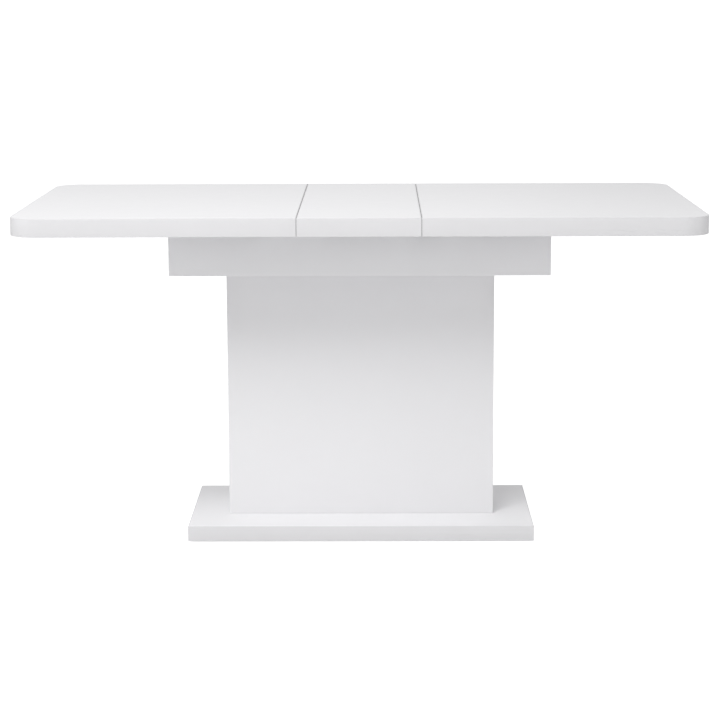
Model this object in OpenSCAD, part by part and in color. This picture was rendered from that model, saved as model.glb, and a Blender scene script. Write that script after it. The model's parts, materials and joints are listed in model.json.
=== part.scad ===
// Extendable dining table: two sliding half tops with a loose leaf between them,
// a shallow apron box that holds the slides, a boxed pedestal and a flat base plate.
// Millimetres. X runs along the table, -Y is the front, Z = 0 is the floor.
// Everything that belongs to the right half is the left half turned half a turn about Z.

/* [Tabletop] */
// Length of the table with the leaf in place
table_l = 1500; // [1250:10:1800]
// Depth of the table, front to back
table_w = 800; // [660:10:1000]
// Height of the top surface above the floor
table_h = 758; // [700:1:800]
// Thickness of the tabletop at its edge
top_t = 40; // [34:1:50]
// Thickness of the deck board itself
deck_t = 22; // [16:1:26]
// Width of the strips that thicken the edge from below
strip_w = 80; // [60:1:96]
// Radius of the four corners of the tabletop
corner_r = 60; // [20:1:76]
// Thickness of every edge band
band_t = 2; // [1:0.5:3]

/* [Leaf] */
// Width of the leaf, measured along the table
leaf_w = 266; // [220:1:320]
// Gap at each seam between the leaf and a half
seam_gap = 1; // [0.9:0.1:2]
// Thickness of the rubber seals on the leaf's two seam edges
seal_t = 0.6; // [0.4:0.1:0.6]

/* [Apron] */
// How far the apron's ends are set in from the ends of the tabletop
apron_inset_x = 331; // [276:1:360]
// How far the apron's front is set in from the front of the tabletop
apron_inset_y = 138; // [130:1:170]
// Height of the apron
apron_h = 100; // [96:1:130]
// Gap between the apron and the underside of the tabletop
apron_gap = 2; // [1:0.5:4]
// Thickness of the apron and pedestal boards
panel_t = 18; // [15:1:22]
// Thickness of the board that joins the apron to the pedestal
mount_board_t = 18; // [15:1:22]
// Side of the square corner blocks and of the battens
batten_w = 18; // [15:1:20]

/* [Pedestal and base] */
// How far the pedestal's ends are set in from the apron's ends
pedestal_inset_x = 114; // [60:1:140]
// Depth of the pedestal, front to back
pedestal_d = 164; // [130:1:260]
// How far the base plate reaches past the pedestal's ends
base_reach_x = 87; // [40:1:140]
// How far the base plate reaches past the pedestal's front and back
base_reach_y = 123; // [100:1:180]
// Thickness of the base plate
base_t = 34; // [28:1:45]
// Height of the floor glides
glide_h = 3; // [2:0.5:8]
// Radius of the floor glides
glide_r = 18; // [12:1:25]
// Side of the square beech cleats inside the pedestal
cleat_w = 30; // [24:1:36]

/* [Slides] */
// Height of the fixed C rails
rail_h = 40; // [36:1:44]
// Depth of the fixed C rails
rail_d = 14; // [13:0.5:16]
// Wall of the fixed C rails
rail_wall = 2; // [1.5:0.5:2.5]
// Height of each lip of the C rails
rail_lip = 8; // [6:1:9]
// Height of the runner bar inside the rail
runner_h = 30; // [26:1:31]
// Thickness of the runner bar
runner_t = 6; // [4:0.5:6.5]
// Thickness of the runner's bracket plate and flange
bracket_t = 3; // [2:0.5:4]
// Width of the flange that is screwed under the deck
flange_w = 30; // [24:1:40]

/* [Rack and pinion] */
// Gear module
gear_module = 2; // [1.5:0.5:2]
// Number of teeth on the pinion
pinion_teeth = 24; // [20:1:28]
// Thickness of the pinion
pinion_t = 12; // [8:1:14]
// Thickness of the racks
rack_t = 10; // [6:1:12]
// Width of the rack behind its teeth
rack_body = 8; // [6:1:12]
// Play between the teeth, measured along the pitch line
backlash = 0.5; // [0.3:0.1:0.6]

/* [Latches] */
// Distance from a latch's pivot to the stud that it holds
latch_reach = 36; // [32:1:40]
// Distance from a latch's pivot to the middle of its thumb pad
latch_handle = 18; // [14:1:20]
// Radius of the studs under the leaf
stud_r = 3.5; // [3:0.5:4]
// Thickness of the latch levers
lever_t = 3; // [2.5:0.5:4]

/* [Clearances] */
// Radial clearance of a bore that turns on a pin
running_gap = 0.05; // [0.02:0.01:0.1]
// Radial clearance of fixed screws, dowels and cams in their holes
fixing_gap = 0.1; // [0.05:0.05:0.2]
// Gap between pieces that slide past each other
slide_gap = 0.3; // [0.2:0.1:0.5]

/* [Hidden] */

white = "#ecebed";
band_white = "#e4e3e6";
raw_board = "#c9b48f";
beech = "#d7b07c";
zinc = "#a9adb2";
nylon = "#f2f0e6";
felt = "#8d8a86";
rubber = "#2b2b2d";

// heights
top_z = table_h - top_t;
deck_z = table_h - deck_t;
strip_t = top_t - deck_t;
base_z = glide_h + base_t;
apron_top = top_z - apron_gap;
apron_z = apron_top - apron_h;
mount_top = apron_z + mount_board_t;
pad_t = apron_gap - slide_gap;

// plan sizes
seam_x = leaf_w / 2 + seam_gap;
travel = seam_x - seam_gap / 2;
apron_l = table_l - 2 * apron_inset_x;
apron_d = table_w - 2 * apron_inset_y;
apron_in_x = apron_l / 2 - panel_t;
apron_in_y = apron_d / 2 - panel_t;
pedestal_l = apron_l - 2 * pedestal_inset_x;
pedestal_in_x = pedestal_l / 2 - panel_t;
pedestal_in_y = pedestal_d / 2 - panel_t;
base_l = pedestal_l + 2 * base_reach_x;
base_d = pedestal_d + 2 * base_reach_y;
strip_in_y = table_w / 2 - strip_w;
leaf_strip_w = min(60, leaf_w / 4);

// screws: a pan head, a shank and how deep the shank bites
screw_r = 2;
screw_head_r = 4;
screw_head_t = 2.6;
screw_bite = 12;

// slides
rail_top = apron_top - 12;
rail_z = rail_top - rail_h;
rail_mid = rail_z + rail_h / 2;
rail_half = apron_in_x - 11;
stop_l = 8;
rail_screw_head = 0.8;
runner_out = rail_half - stop_l - 2;
runner_in = seam_x + 16;
runner_back = apron_in_y - rail_wall - 1.5;
runner_front = runner_back - runner_t;
neck_h = rail_h - 2 * rail_lip - 8;
bracket_back = apron_in_y - rail_d - 2;
bracket_front = bracket_back - bracket_t;
bracket_in = seam_x + strip_w + 6;
shoe_l = 30;
shoe_t = rail_h / 2 - rail_wall - runner_h / 2 - slide_gap;

// rack and pinion
pitch_r = gear_module * pinion_teeth / 2;
tooth_pitch = PI * gear_module;
pressure_angle = 20;
addendum = gear_module;
dedendum = 1.25 * gear_module;
gear_z = rail_top - 14;
rack_z = gear_z + (pinion_t - rack_t) / 2;
rack_back = pitch_r + dedendum + rack_body;
rack_tip_x = 16;
rack_outer_x = seam_x + strip_w - 9;
block_inner_x = seam_x + 21;
block_y0 = pitch_r - addendum;
block_y1 = rack_back + 6;
rack_screw_x = [block_inner_x + 10, rack_outer_x - 10];
guide_l = 50;
guide_t = 12;
guide_foot_w = 22;

// the involute pinion: half the angle that a tooth takes at a radius, then its outline
axle_r = 5;
base_circle_r = pitch_r * cos(pressure_angle);
root_r = pitch_r - dedendum;
tip_r = pitch_r + addendum;
flank_steps = 5;
flank_radii = [root_r, for (i = [0 : flank_steps]) base_circle_r + (tip_r - base_circle_r) * i / flank_steps];
flank_count = len(flank_radii);
function involute_deg(angle) = tan(angle) * 180 / PI - angle;
function tooth_half_deg(r) =
    90 / pinion_teeth - backlash / 4 / pitch_r * 180 / PI
    + involute_deg(pressure_angle) - involute_deg(r > base_circle_r ? acos(base_circle_r / r) : 0);
pinion_points = [
    for (k = [0 : pinion_teeth - 1], side = [-1, 1], i = [0 : flank_count - 1])
        let (
            r = flank_radii[side < 0 ? i : flank_count - 1 - i],
            angle = k * 360 / pinion_teeth + side * tooth_half_deg(r)
        )
            [r * cos(angle), r * sin(angle)]
];

// the rack: its toothed edge from left to right, with a gap facing the pinion's centre at rest
rack_teeth_from = -ceil((travel + rack_tip_x) / tooth_pitch);
rack_teeth_to = floor(rack_tip_x / tooth_pitch) - 1;
tooth_lean = tan(pressure_angle);
tooth_half_w = tooth_pitch / 4 - backlash / 4;
rack_edge = [
    for (k = [rack_teeth_from : rack_teeth_to]) let (x = (k + 0.5) * tooth_pitch) each [
        [x - tooth_half_w - dedendum * tooth_lean, pitch_r + dedendum],
        [x - tooth_half_w + addendum * tooth_lean, pitch_r - addendum],
        [x + tooth_half_w - addendum * tooth_lean, pitch_r - addendum],
        [x + tooth_half_w + dedendum * tooth_lean, pitch_r + dedendum]
    ]
];

// the post that carries the pinion, with its foot between the rack guides
foot_t = 4;
foot_gap = 2.8;
foot_w = 2 * (rack_back + slide_gap - foot_gap);
foot_screw_in = 8;
post_r = 13;
hub_r = 14;
hub_h = 4;
retainer_r = 9;
retainer_t = 3;
pinion_hole_r = 3.6;
pinion_hole_ring = 14.5;

// latches
latch_pivot_x = seam_x + 16;
stud_x = latch_pivot_x - latch_reach;
latch_near_y = apron_d / 2 + 30;
latch_far_y = latch_near_y + 41;
latch_pin_r = 4;
plate_t = 2;
plate_half_l = 23;
plate_x = [-14, 10];
plate_screw_r = 1.5;
plate_screw_l = 10;
plate_screw_head_r = 3;
plate_screw_head_t = 1.2;
plate_screw_y = 17;
pin_head_t = 1;
lever_gap = 0.4;
pin_l = lever_t + 2 * lever_gap;
lever_w = 12;
boss_r = latch_pin_r + 6;
jaw_r = stud_r + 5.5;
thumb_pad_r = 8;
slot_gap = 0.4;
stud_flange_t = 1.5;
stud_root_r = 2.5;
stud_tip = 1.2;
stud_drop = plate_t + lever_gap + lever_t + stud_tip;
seal_inset = 1;

// where repeated fixings stand
glide_x = base_l / 2 - 45;
glide_y = base_d / 2 - 45;
bolt_x = pedestal_in_x * 0.7;
bolt_y = pedestal_in_y - cleat_w / 2;
bolt_r = 4;
bolt_head_r = 6.5;
bolt_head_t = 8;
bolt_sink = 2;
bolt_l = base_t + cleat_w - 6;
hex_socket_r = 3.4;
hex_socket_depth = 4;
recess_gap = 1;
cam_r = 7.5;
cam_t = 12.5;
cam_bolt_r = 3;
cam_y = pedestal_in_y - 24;
cam_bolt_x = pedestal_in_x + panel_t / 2;
cam_bolt_bite = 11;
dowel_r = 4;
dowel_bite = 12;
joint_rise = [83, 250, apron_z - base_z - 250, apron_z - base_z - 83];
dowel_rise = [150, apron_z - base_z - 150];
mount_half_l = min(pedestal_l / 2 + 27, apron_in_x - 40);
mount_screw_x = [-0.85, -0.3, 0.3, 0.85] * pedestal_in_x;
batten_screw_x = [-0.9, -0.45, 0, 0.45, 0.9] * mount_half_l;
rail_screw_x = [-0.95, -0.55, 0, 0.55, 0.95] * (rail_half - stop_l - 6);
corner_block_w = 32;
corner_block_h = 36;
flange_screw_x = [bracket_in + 16, (bracket_in + runner_out) / 2, runner_out - 16];
pad_l = 40;
pad_w = panel_t - 4;
pad_x = [-seam_x - strip_w / 2, -leaf_w / 2 + leaf_strip_w / 2,
         leaf_w / 2 - leaf_strip_w / 2, seam_x + strip_w / 2];

// a block between two opposite corners
module block(low, high) {
    translate(low) cube(high - low);
}

// a round rod that stands on a point and runs up, to the back or to the right
module rod_z(at, length, radius) {
    translate(at) cylinder(h = length, r = radius, $fn = 48);
}
module rod_y(at, length, radius) {
    translate(at) rotate([-90, 0, 0]) cylinder(h = length, r = radius, $fn = 48);
}
module rod_x(at, length, radius) {
    translate(at) rotate([0, 90, 0]) cylinder(h = length, r = radius, $fn = 48);
}

// a screw whose head rests on z = 0 from above and whose shank points down
module screw(grip) {
    translate([0, 0, -grip - screw_bite]) cylinder(h = grip + screw_bite, r = screw_r, $fn = 32);
    cylinder(h = screw_head_t, r = screw_head_r, $fn = 32);
}
module screw_hole(grip) {
    translate([0, 0, -grip - screw_bite - fixing_gap])
        cylinder(h = grip + screw_bite + 2 * fixing_gap, r = screw_r + fixing_gap, $fn = 32);
}

// the same thing once as drawn and once turned half a turn about Z
module both_ends() {
    children();
    rotate([0, 0, 180]) children();
}
module turned() {
    rotate([0, 0, 180]) children();
}
// the same thing at the front and, mirrored, at the back
module front_and_back() {
    children();
    mirror([0, 1, 0]) children();
}

// ---------------------------------------------------------------- base

module at_glides() {
    for (x = [-glide_x, 0, glide_x], y = [-glide_y, glide_y]) translate([x, y, 0]) children();
}
module at_bolts() {
    for (x = [-bolt_x, bolt_x], y = [-bolt_y, bolt_y]) translate([x, y, glide_h]) children();
}

module base_plate() {
    color(white) difference() {
        block([-base_l / 2 + band_t, -base_d / 2 + band_t, glide_h],
              [base_l / 2 - band_t, base_d / 2 - band_t, base_z]);
        at_bolts() {
            rod_z([0, 0, -1], 1 + bolt_sink + bolt_head_t, bolt_head_r + recess_gap);
            rod_z([0, 0, 0], base_t + 1, bolt_r + fixing_gap);
        }
    }
}

module base_edge_band() {
    color(band_white) difference() {
        block([-base_l / 2, -base_d / 2, glide_h], [base_l / 2, base_d / 2, base_z]);
        block([-base_l / 2 + band_t, -base_d / 2 + band_t, glide_h - 1],
              [base_l / 2 - band_t, base_d / 2 - band_t, base_z + 1]);
    }
}

module floor_glides() {
    color(felt) at_glides() cylinder(h = glide_h, r = glide_r, $fn = 64);
}

module base_bolts() {
    color(zinc) at_bolts() difference() {
        union() {
            rod_z([0, 0, bolt_sink], bolt_head_t, bolt_head_r);
            rod_z([0, 0, bolt_sink], bolt_l, bolt_r);
        }
        translate([0, 0, bolt_sink - 1]) cylinder(h = hex_socket_depth + 1, r = hex_socket_r, $fn = 6);
    }
}

// ---------------------------------------------------------------- pedestal

// cam fittings join the side panels to the front and back panels
module at_cams() {
    for (sx = [0, 1], sy = [0, 1], rise = joint_rise)
        mirror([sx, 0, 0]) mirror([0, sy, 0]) translate([0, 0, base_z + rise]) children();
}
module at_dowels() {
    for (sx = [0, 1], sy = [0, 1], rise = dowel_rise)
        mirror([sx, 0, 0]) mirror([0, sy, 0]) translate([0, 0, base_z + rise]) children();
}
module cam_holes() {
    at_cams() {
        rod_x([pedestal_in_x - 1, cam_y, 0], cam_t + 1 + fixing_gap, cam_r + fixing_gap);
        rod_y([cam_bolt_x, cam_y, 0], pedestal_in_y - cam_y + cam_bolt_bite + fixing_gap,
              cam_bolt_r + fixing_gap);
    }
    at_dowels() rod_y([cam_bolt_x, pedestal_in_y - dowel_bite - fixing_gap, 0],
                      2 * (dowel_bite + fixing_gap), dowel_r + fixing_gap);
}

module pedestal_face() {
    color(white) difference() {
        block([-pedestal_l / 2, -pedestal_d / 2, base_z], [pedestal_l / 2, -pedestal_in_y, apron_z]);
        cam_holes();
    }
}
module pedestal_front_panel() {
    pedestal_face();
}
module pedestal_back_panel() {
    turned() pedestal_face();
}

module pedestal_side_panels() {
    color(white) difference() {
        for (x = [-pedestal_l / 2, pedestal_in_x])
            block([x, -pedestal_in_y, base_z], [x + panel_t, pedestal_in_y, apron_z]);
        cam_holes();
    }
}

module pedestal_stiffener() {
    color(raw_board)
        block([-panel_t / 2, -pedestal_in_y, base_z + cleat_w],
              [panel_t / 2, pedestal_in_y, apron_z - cleat_w]);
}

module cleats(z) {
    front_and_back()
        block([-pedestal_in_x, -pedestal_in_y, z],
              [pedestal_in_x, -pedestal_in_y + cleat_w, z + cleat_w]);
}
module bottom_cleats() {
    color(beech) difference() {
        cleats(base_z);
        at_bolts() rod_z([0, 0, 0], bolt_sink + bolt_l + fixing_gap, bolt_r + fixing_gap);
    }
}
module top_cleats() {
    color(beech) difference() {
        cleats(apron_z - cleat_w);
        at_mount_screws() screw_hole(mount_board_t);
    }
}

module cam_fittings() {
    color(zinc) at_cams() {
        rod_x([pedestal_in_x, cam_y, 0], cam_t, cam_r);
        rod_y([cam_bolt_x, cam_y + cam_r + fixing_gap, 0],
              pedestal_in_y - cam_y - cam_r + cam_bolt_bite - fixing_gap, cam_bolt_r);
    }
}

module wood_dowels() {
    color(beech) at_dowels()
        rod_y([cam_bolt_x, pedestal_in_y - dowel_bite, 0], 2 * dowel_bite, dowel_r);
}

// ---------------------------------------------------------------- apron

module at_mount_screws() {
    for (x = mount_screw_x, y = [-bolt_y, bolt_y]) translate([x, y, mount_top]) children();
}
// down through each batten into the mounting board
module at_batten_down_screws() {
    for (x = batten_screw_x)
        front_and_back() translate([x + 20, -apron_in_y + batten_w / 2, mount_top + batten_w]) children();
}
// through each batten into the apron's front and back
module at_batten_side_screws() {
    for (x = batten_screw_x) front_and_back()
        translate([x, -apron_in_y + batten_w, mount_top + batten_w / 2]) rotate([-90, 0, 0]) children();
}
// through each corner block, into a long panel and into an end panel
module at_corner_screws() {
    for (s = [0, 1]) mirror([s, 0, 0]) front_and_back() {
        translate([-apron_in_x + 20, -apron_in_y + corner_block_w, apron_z + 14])
            rotate([-90, 0, 0]) children();
        translate([-apron_in_x + corner_block_w, -apron_in_y + 20, apron_z + 30])
            rotate([0, 90, 0]) children();
    }
}
// through the back wall of each rail into the apron
module at_rail_screws() {
    for (x = rail_screw_x) front_and_back()
        translate([x, -apron_in_y + rail_wall, rail_mid]) rotate([-90, 0, 0]) children();
}

module mounting_board() {
    color(white) difference() {
        block([-mount_half_l, -apron_in_y, apron_z], [mount_half_l, apron_in_y, mount_top]);
        at_mount_screws() screw_hole(mount_board_t);
        at_batten_down_screws() screw_hole(batten_w);
        at_foot_screws() screw_hole(foot_t);
    }
}

module mounting_battens() {
    color(beech) difference() {
        front_and_back()
            block([-mount_half_l, -apron_in_y, mount_top],
                  [mount_half_l, -apron_in_y + batten_w, mount_top + batten_w]);
        at_batten_down_screws() screw_hole(batten_w);
        at_batten_side_screws() screw_hole(batten_w);
    }
}

module pedestal_top_screws() {
    color(zinc) at_mount_screws() screw(mount_board_t);
}

module apron_long_panel() {
    color(white) difference() {
        block([-apron_l / 2, -apron_d / 2, apron_z], [apron_l / 2, -apron_in_y, apron_top]);
        at_batten_side_screws() screw_hole(batten_w);
        at_corner_screws() screw_hole(corner_block_w);
        at_rail_screws() screw_hole(rail_wall);
    }
}
module apron_front() {
    apron_long_panel();
}
module apron_back() {
    mirror([0, 1, 0]) apron_long_panel();
}

module apron_end_panels() {
    color(white) difference() {
        for (x = [-apron_l / 2, apron_in_x])
            block([x, -apron_in_y, apron_z], [x + panel_t, apron_in_y, apron_top]);
        at_corner_screws() screw_hole(corner_block_w);
    }
}

module corner_blocks() {
    color(beech) difference() {
        for (s = [0, 1]) mirror([s, 0, 0]) front_and_back()
            block([-apron_in_x, -apron_in_y, apron_z + 4],
                  [-apron_in_x + corner_block_w, -apron_in_y + corner_block_w,
                   apron_z + 4 + corner_block_h]);
        at_corner_screws() screw_hole(corner_block_w);
    }
}

module frame_screws() {
    color(zinc) {
        at_batten_down_screws() screw(batten_w);
        at_batten_side_screws() screw(batten_w);
        at_corner_screws() screw(corner_block_w);
        at_foot_screws() screw(foot_t);
        at_rail_screws() {
            translate([0, 0, -rail_wall - screw_bite])
                cylinder(h = rail_wall + screw_bite, r = screw_r, $fn = 32);
            cylinder(h = rail_screw_head, r = screw_head_r, $fn = 32);
        }
    }
}

module support_pads() {
    color(felt) for (x = pad_x) front_and_back()
        block([x - pad_l / 2, -apron_d / 2 + 2, apron_top],
              [x + pad_l / 2, -apron_d / 2 + 2 + pad_w, apron_top + pad_t]);
}

// ---------------------------------------------------------------- slides

module rail() {
    mouth = rail_h - 2 * rail_lip;
    color(zinc) difference() {
        block([-rail_half, -apron_in_y, rail_z], [rail_half, -apron_in_y + rail_d, rail_top]);
        block([-rail_half - 1, -apron_in_y + rail_wall, rail_z + rail_wall],
              [rail_half + 1, -apron_in_y + rail_d - rail_wall, rail_top - rail_wall]);
        block([-rail_half - 1, -apron_in_y + rail_wall, rail_mid - mouth / 2],
              [rail_half + 1, -apron_in_y + rail_d + 1, rail_mid + mouth / 2]);
        at_rail_screws() screw_hole(rail_wall);
    }
}
module front_rail() {
    rail();
}
module back_rail() {
    mirror([0, 1, 0]) rail();
}

module rail_stops() {
    color(rubber) for (s = [0, 1]) mirror([s, 0, 0]) front_and_back()
        block([-rail_half, -apron_in_y + rail_wall, rail_z + rail_wall],
              [-rail_half + stop_l, -apron_in_y + rail_d - rail_wall, rail_top - rail_wall]);
}

// one runner of the left half: a bar in the rail, a neck through its mouth, and a bracket up to the deck
module runner() {
    color(zinc) difference() {
        union() {
            block([-runner_out, -runner_back, rail_mid - runner_h / 2],
                  [-runner_in, -runner_front, rail_mid + runner_h / 2]);
            block([-runner_out, -runner_front, rail_mid - neck_h / 2],
                  [-runner_in, -bracket_back, rail_mid + neck_h / 2]);
            block([-runner_out, -bracket_back, rail_mid - neck_h / 2],
                  [-runner_in, -bracket_front, rail_mid + neck_h / 2]);
            block([-runner_out, -bracket_back, rail_mid - neck_h / 2],
                  [-bracket_in, -bracket_front, deck_z]);
            block([-runner_out, -bracket_front, deck_z - bracket_t],
                  [-bracket_in, -bracket_front + flange_w, deck_z]);
        }
        at_flange_screws() screw_hole(bracket_t);
    }
}
module left_front_runner() {
    runner();
}
module left_back_runner() {
    mirror([0, 1, 0]) runner();
}
module right_front_runner() {
    turned() left_back_runner();
}
module right_back_runner() {
    turned() left_front_runner();
}

module left_slide_shoes() {
    color(nylon)
        for (x = [-runner_out, -runner_in - shoe_l], up = [0, 1]) front_and_back()
            translate([0, 0, rail_mid]) mirror([0, 0, up])
                block([x, -runner_back, runner_h / 2],
                      [x + shoe_l, -runner_front, runner_h / 2 + shoe_t]);
}
module right_slide_shoes() {
    turned() left_slide_shoes();
}

// up through each flange into the deck
module at_flange_screws() {
    for (x = flange_screw_x) front_and_back()
        translate([-x, -bracket_front + flange_w / 2 + 3, deck_z - bracket_t])
            rotate([180, 0, 0]) children();
}
// up through the rack and its block into the inner cross strip
module at_rack_screws() {
    for (x = rack_screw_x) translate([-x, rack_back - rack_body / 2, rack_z]) rotate([180, 0, 0]) children();
}

// ---------------------------------------------------------------- rack and pinion

module at_foot_screws() {
    for (x = [-1, 1], y = [-1, 1])
        translate([x * (foot_w / 2 - foot_screw_in), y * (foot_w / 2 - foot_screw_in), mount_top + foot_t])
            children();
    for (x = [-1, 1]) front_and_back()
        translate([x * (guide_l / 2 - foot_screw_in),
                   -rack_back - slide_gap - (guide_t + guide_foot_w) / 2, mount_top + foot_t])
            children();
}

module sync_pinion() {
    color(nylon) translate([0, 0, gear_z]) difference() {
        union() {
            linear_extrude(pinion_t) polygon(pinion_points);
            translate([0, 0, -hub_h]) cylinder(h = hub_h + 0.5, r = hub_r, $fn = 64);
        }
        translate([0, 0, -hub_h - 1]) cylinder(h = hub_h + pinion_t + 2, r = axle_r + running_gap, $fn = 64);
        for (k = [0 : 5]) rotate([0, 0, 60 * k + 30]) translate([pinion_hole_ring, 0, 1])
            cylinder(h = pinion_t, r = pinion_hole_r, $fn = 32);
    }
}

module pinion_post() {
    color(zinc) difference() {
        union() {
            block([-foot_w / 2, -foot_w / 2, mount_top], [foot_w / 2, foot_w / 2, mount_top + foot_t]);
            rod_z([0, 0, mount_top], gear_z - hub_h - slide_gap - mount_top, post_r);
            rod_z([0, 0, mount_top], gear_z + pinion_t + retainer_t + 2 - mount_top, axle_r);
        }
        at_foot_screws() screw_hole(foot_t);
    }
}

module pinion_retainer() {
    color(zinc) difference() {
        rod_z([0, 0, gear_z + pinion_t + slide_gap], retainer_t, retainer_r);
        rod_z([0, 0, gear_z], 2 * pinion_t, axle_r);
    }
}

module rack_guides() {
    color(nylon) difference() {
        both_ends() {
            block([-guide_l / 2, rack_back + slide_gap, mount_top],
                  [guide_l / 2, rack_back + slide_gap + guide_t, rack_z + rack_t - 1]);
            block([-guide_l / 2, rack_back + slide_gap, mount_top],
                  [guide_l / 2, rack_back + slide_gap + guide_foot_w, mount_top + foot_t]);
        }
        at_foot_screws() screw_hole(foot_t);
    }
}

module left_rack() {
    color(nylon) difference() {
        translate([0, 0, rack_z]) linear_extrude(rack_t) polygon(concat(
            [[-rack_outer_x, pitch_r + dedendum]], rack_edge,
            [[rack_tip_x, pitch_r + dedendum], [rack_tip_x, rack_back], [-rack_outer_x, rack_back]]
        ));
        at_rack_screws() screw_hole(top_z - rack_z);
    }
}
module right_rack() {
    turned() left_rack();
}

module left_rack_block() {
    color(zinc) difference() {
        block([-rack_outer_x, block_y0, rack_z + rack_t], [-block_inner_x, block_y1, top_z]);
        at_rack_screws() screw_hole(top_z - rack_z);
    }
}
module right_rack_block() {
    turned() left_rack_block();
}

// ---------------------------------------------------------------- half tops

// outline of the left half, pulled in by an inset, with its two outer corners rounded
module half_outline(inset) {
    outer = -table_l / 2 + inset;
    inner = -seam_x - inset;
    side = table_w / 2 - inset;
    r = corner_r - inset;
    translate([outer + r, -side]) square([inner - outer - r, 2 * side]);
    translate([outer, -side + r]) square([r, 2 * (side - r)]);
    for (s = [-1, 1]) translate([outer + r, s * (side - r)]) circle(r, $fn = 96);
}
module outside_strip_line(length) {
    for (s = [0, 1]) mirror([0, s]) translate([-length, strip_in_y]) square([2 * length, strip_w]);
}

module left_deck_board() {
    color(white) difference() {
        translate([0, 0, deck_z]) linear_extrude(deck_t) half_outline(band_t);
        at_flange_screws() screw_hole(bracket_t);
    }
}
module right_deck_board() {
    turned() left_deck_board();
}

module half_strip_holes() {
    at_rack_screws() screw_hole(top_z - rack_z);
    at_plate_screws() plate_screw_hole();
}
module left_long_strips() {
    color(white) difference() {
        translate([0, 0, top_z]) linear_extrude(strip_t) intersection() {
            half_outline(band_t);
            outside_strip_line(table_l);
        }
        half_strip_holes();
    }
}
module right_long_strips() {
    turned() left_long_strips();
}

module left_cross_strips() {
    color(white) difference() {
        union() {
            block([-table_l / 2 + band_t, -strip_in_y, top_z], [-table_l / 2 + strip_w, strip_in_y, deck_z]);
            block([-seam_x - strip_w, -strip_in_y, top_z], [-seam_x - band_t, strip_in_y, deck_z]);
        }
        half_strip_holes();
    }
}
module right_cross_strips() {
    turned() left_cross_strips();
}

module left_edge_band() {
    color(band_white) translate([0, 0, top_z]) linear_extrude(top_t) difference() {
        half_outline(0);
        half_outline(band_t);
    }
}
module right_edge_band() {
    turned() left_edge_band();
}

module left_top_screws() {
    color(zinc) {
        at_flange_screws() screw(bracket_t);
        at_rack_screws() screw(top_z - rack_z);
        at_plate_screws() {
            translate([0, 0, -plate_screw_l]) cylinder(h = plate_screw_l, r = plate_screw_r, $fn = 32);
            translate([0, 0, -plate_screw_head_t])
                cylinder(h = plate_screw_head_t, r = plate_screw_head_r, $fn = 32);
        }
    }
}
module right_top_screws() {
    turned() left_top_screws();
}

// ---------------------------------------------------------------- leaf

module leaf_slab(inset, low, high) {
    block([-leaf_w / 2 + inset, -table_w / 2 + inset, low], [leaf_w / 2 - inset, table_w / 2 - inset, high]);
}

module leaf_deck_board() {
    color(white) leaf_slab(band_t, deck_z, table_h);
}

module stud_holes() {
    at_studs() rod_z([0, 0, -1], screw_bite + 1 + fixing_gap, stud_root_r + fixing_gap);
}
module leaf_long_strips() {
    color(white) difference() {
        intersection() {
            leaf_slab(band_t, top_z, deck_z);
            translate([0, 0, top_z]) linear_extrude(strip_t) outside_strip_line(leaf_w);
        }
        stud_holes();
    }
}

module leaf_cross_strips() {
    color(white) difference() {
        for (s = [0, 1]) mirror([s, 0, 0])
            block([-leaf_w / 2 + band_t, -strip_in_y, top_z],
                  [-leaf_w / 2 + leaf_strip_w, strip_in_y, deck_z]);
        stud_holes();
    }
}

module leaf_edge_band() {
    color(band_white) difference() {
        leaf_slab(0, top_z, table_h);
        leaf_slab(band_t, top_z - 1, table_h + 1);
    }
}

// thin rubber seals on the leaf's seam edges, kept back from the top, the underside and the ends
module leaf_seals() {
    color(rubber) for (s = [0, 1]) mirror([s, 0, 0])
        block([leaf_w / 2, -table_w / 2 + seal_inset, top_z + seal_inset],
              [leaf_w / 2 + seal_t, table_w / 2 - seal_inset, table_h - seal_inset]);
}

module leaf_latch_studs() {
    color(zinc) at_studs() {
        rod_z([0, 0, 0], screw_bite, stud_root_r);
        rod_z([0, 0, -stud_flange_t], stud_flange_t, stud_r + 4);
        rod_z([0, 0, -stud_drop], stud_drop, stud_r);
    }
}

// ---------------------------------------------------------------- latches

// the left half's latches stand far out at the front and near the apron at the back
module at_left_front_pivot() {
    translate([-latch_pivot_x, -latch_far_y, top_z]) children();
}
module at_left_back_pivot() {
    translate([-latch_pivot_x, latch_near_y, top_z]) mirror([0, 1, 0]) children();
}
module at_studs() {
    both_ends() {
        translate([-stud_x, -latch_far_y, top_z]) children();
        translate([-stud_x, latch_near_y, top_z]) children();
    }
}
module at_plate_screws() {
    at_left_front_pivot() plate_screw_places() children();
    at_left_back_pivot() plate_screw_places() children();
}
module plate_screw_places() {
    for (y = [-plate_screw_y, plate_screw_y])
        translate([-4, y, -plate_t]) rotate([180, 0, 0]) children();
}
module plate_screw_hole() {
    translate([0, 0, -plate_screw_l - fixing_gap])
        cylinder(h = plate_screw_l + 1, r = plate_screw_r + fixing_gap, $fn = 32);
    translate([0, 0, -plate_screw_head_t])
        cylinder(h = plate_screw_head_t + 1, r = plate_screw_head_r + fixing_gap, $fn = 32);
}

module latch_plate() {
    difference() {
        block([plate_x[0], -plate_half_l, -plate_t], [plate_x[1], plate_half_l, 0]);
        plate_screw_places() plate_screw_hole();
    }
    rod_z([0, 0, -plate_t - pin_l], pin_l, latch_pin_r);
    rod_z([0, 0, -plate_t - pin_l - pin_head_t], pin_head_t, latch_pin_r + 2);
}
module left_latch_plates() {
    color(zinc) {
        at_left_front_pivot() latch_plate();
        at_left_back_pivot() latch_plate();
    }
}
module right_latch_plates() {
    turned() left_latch_plates();
}

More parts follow.
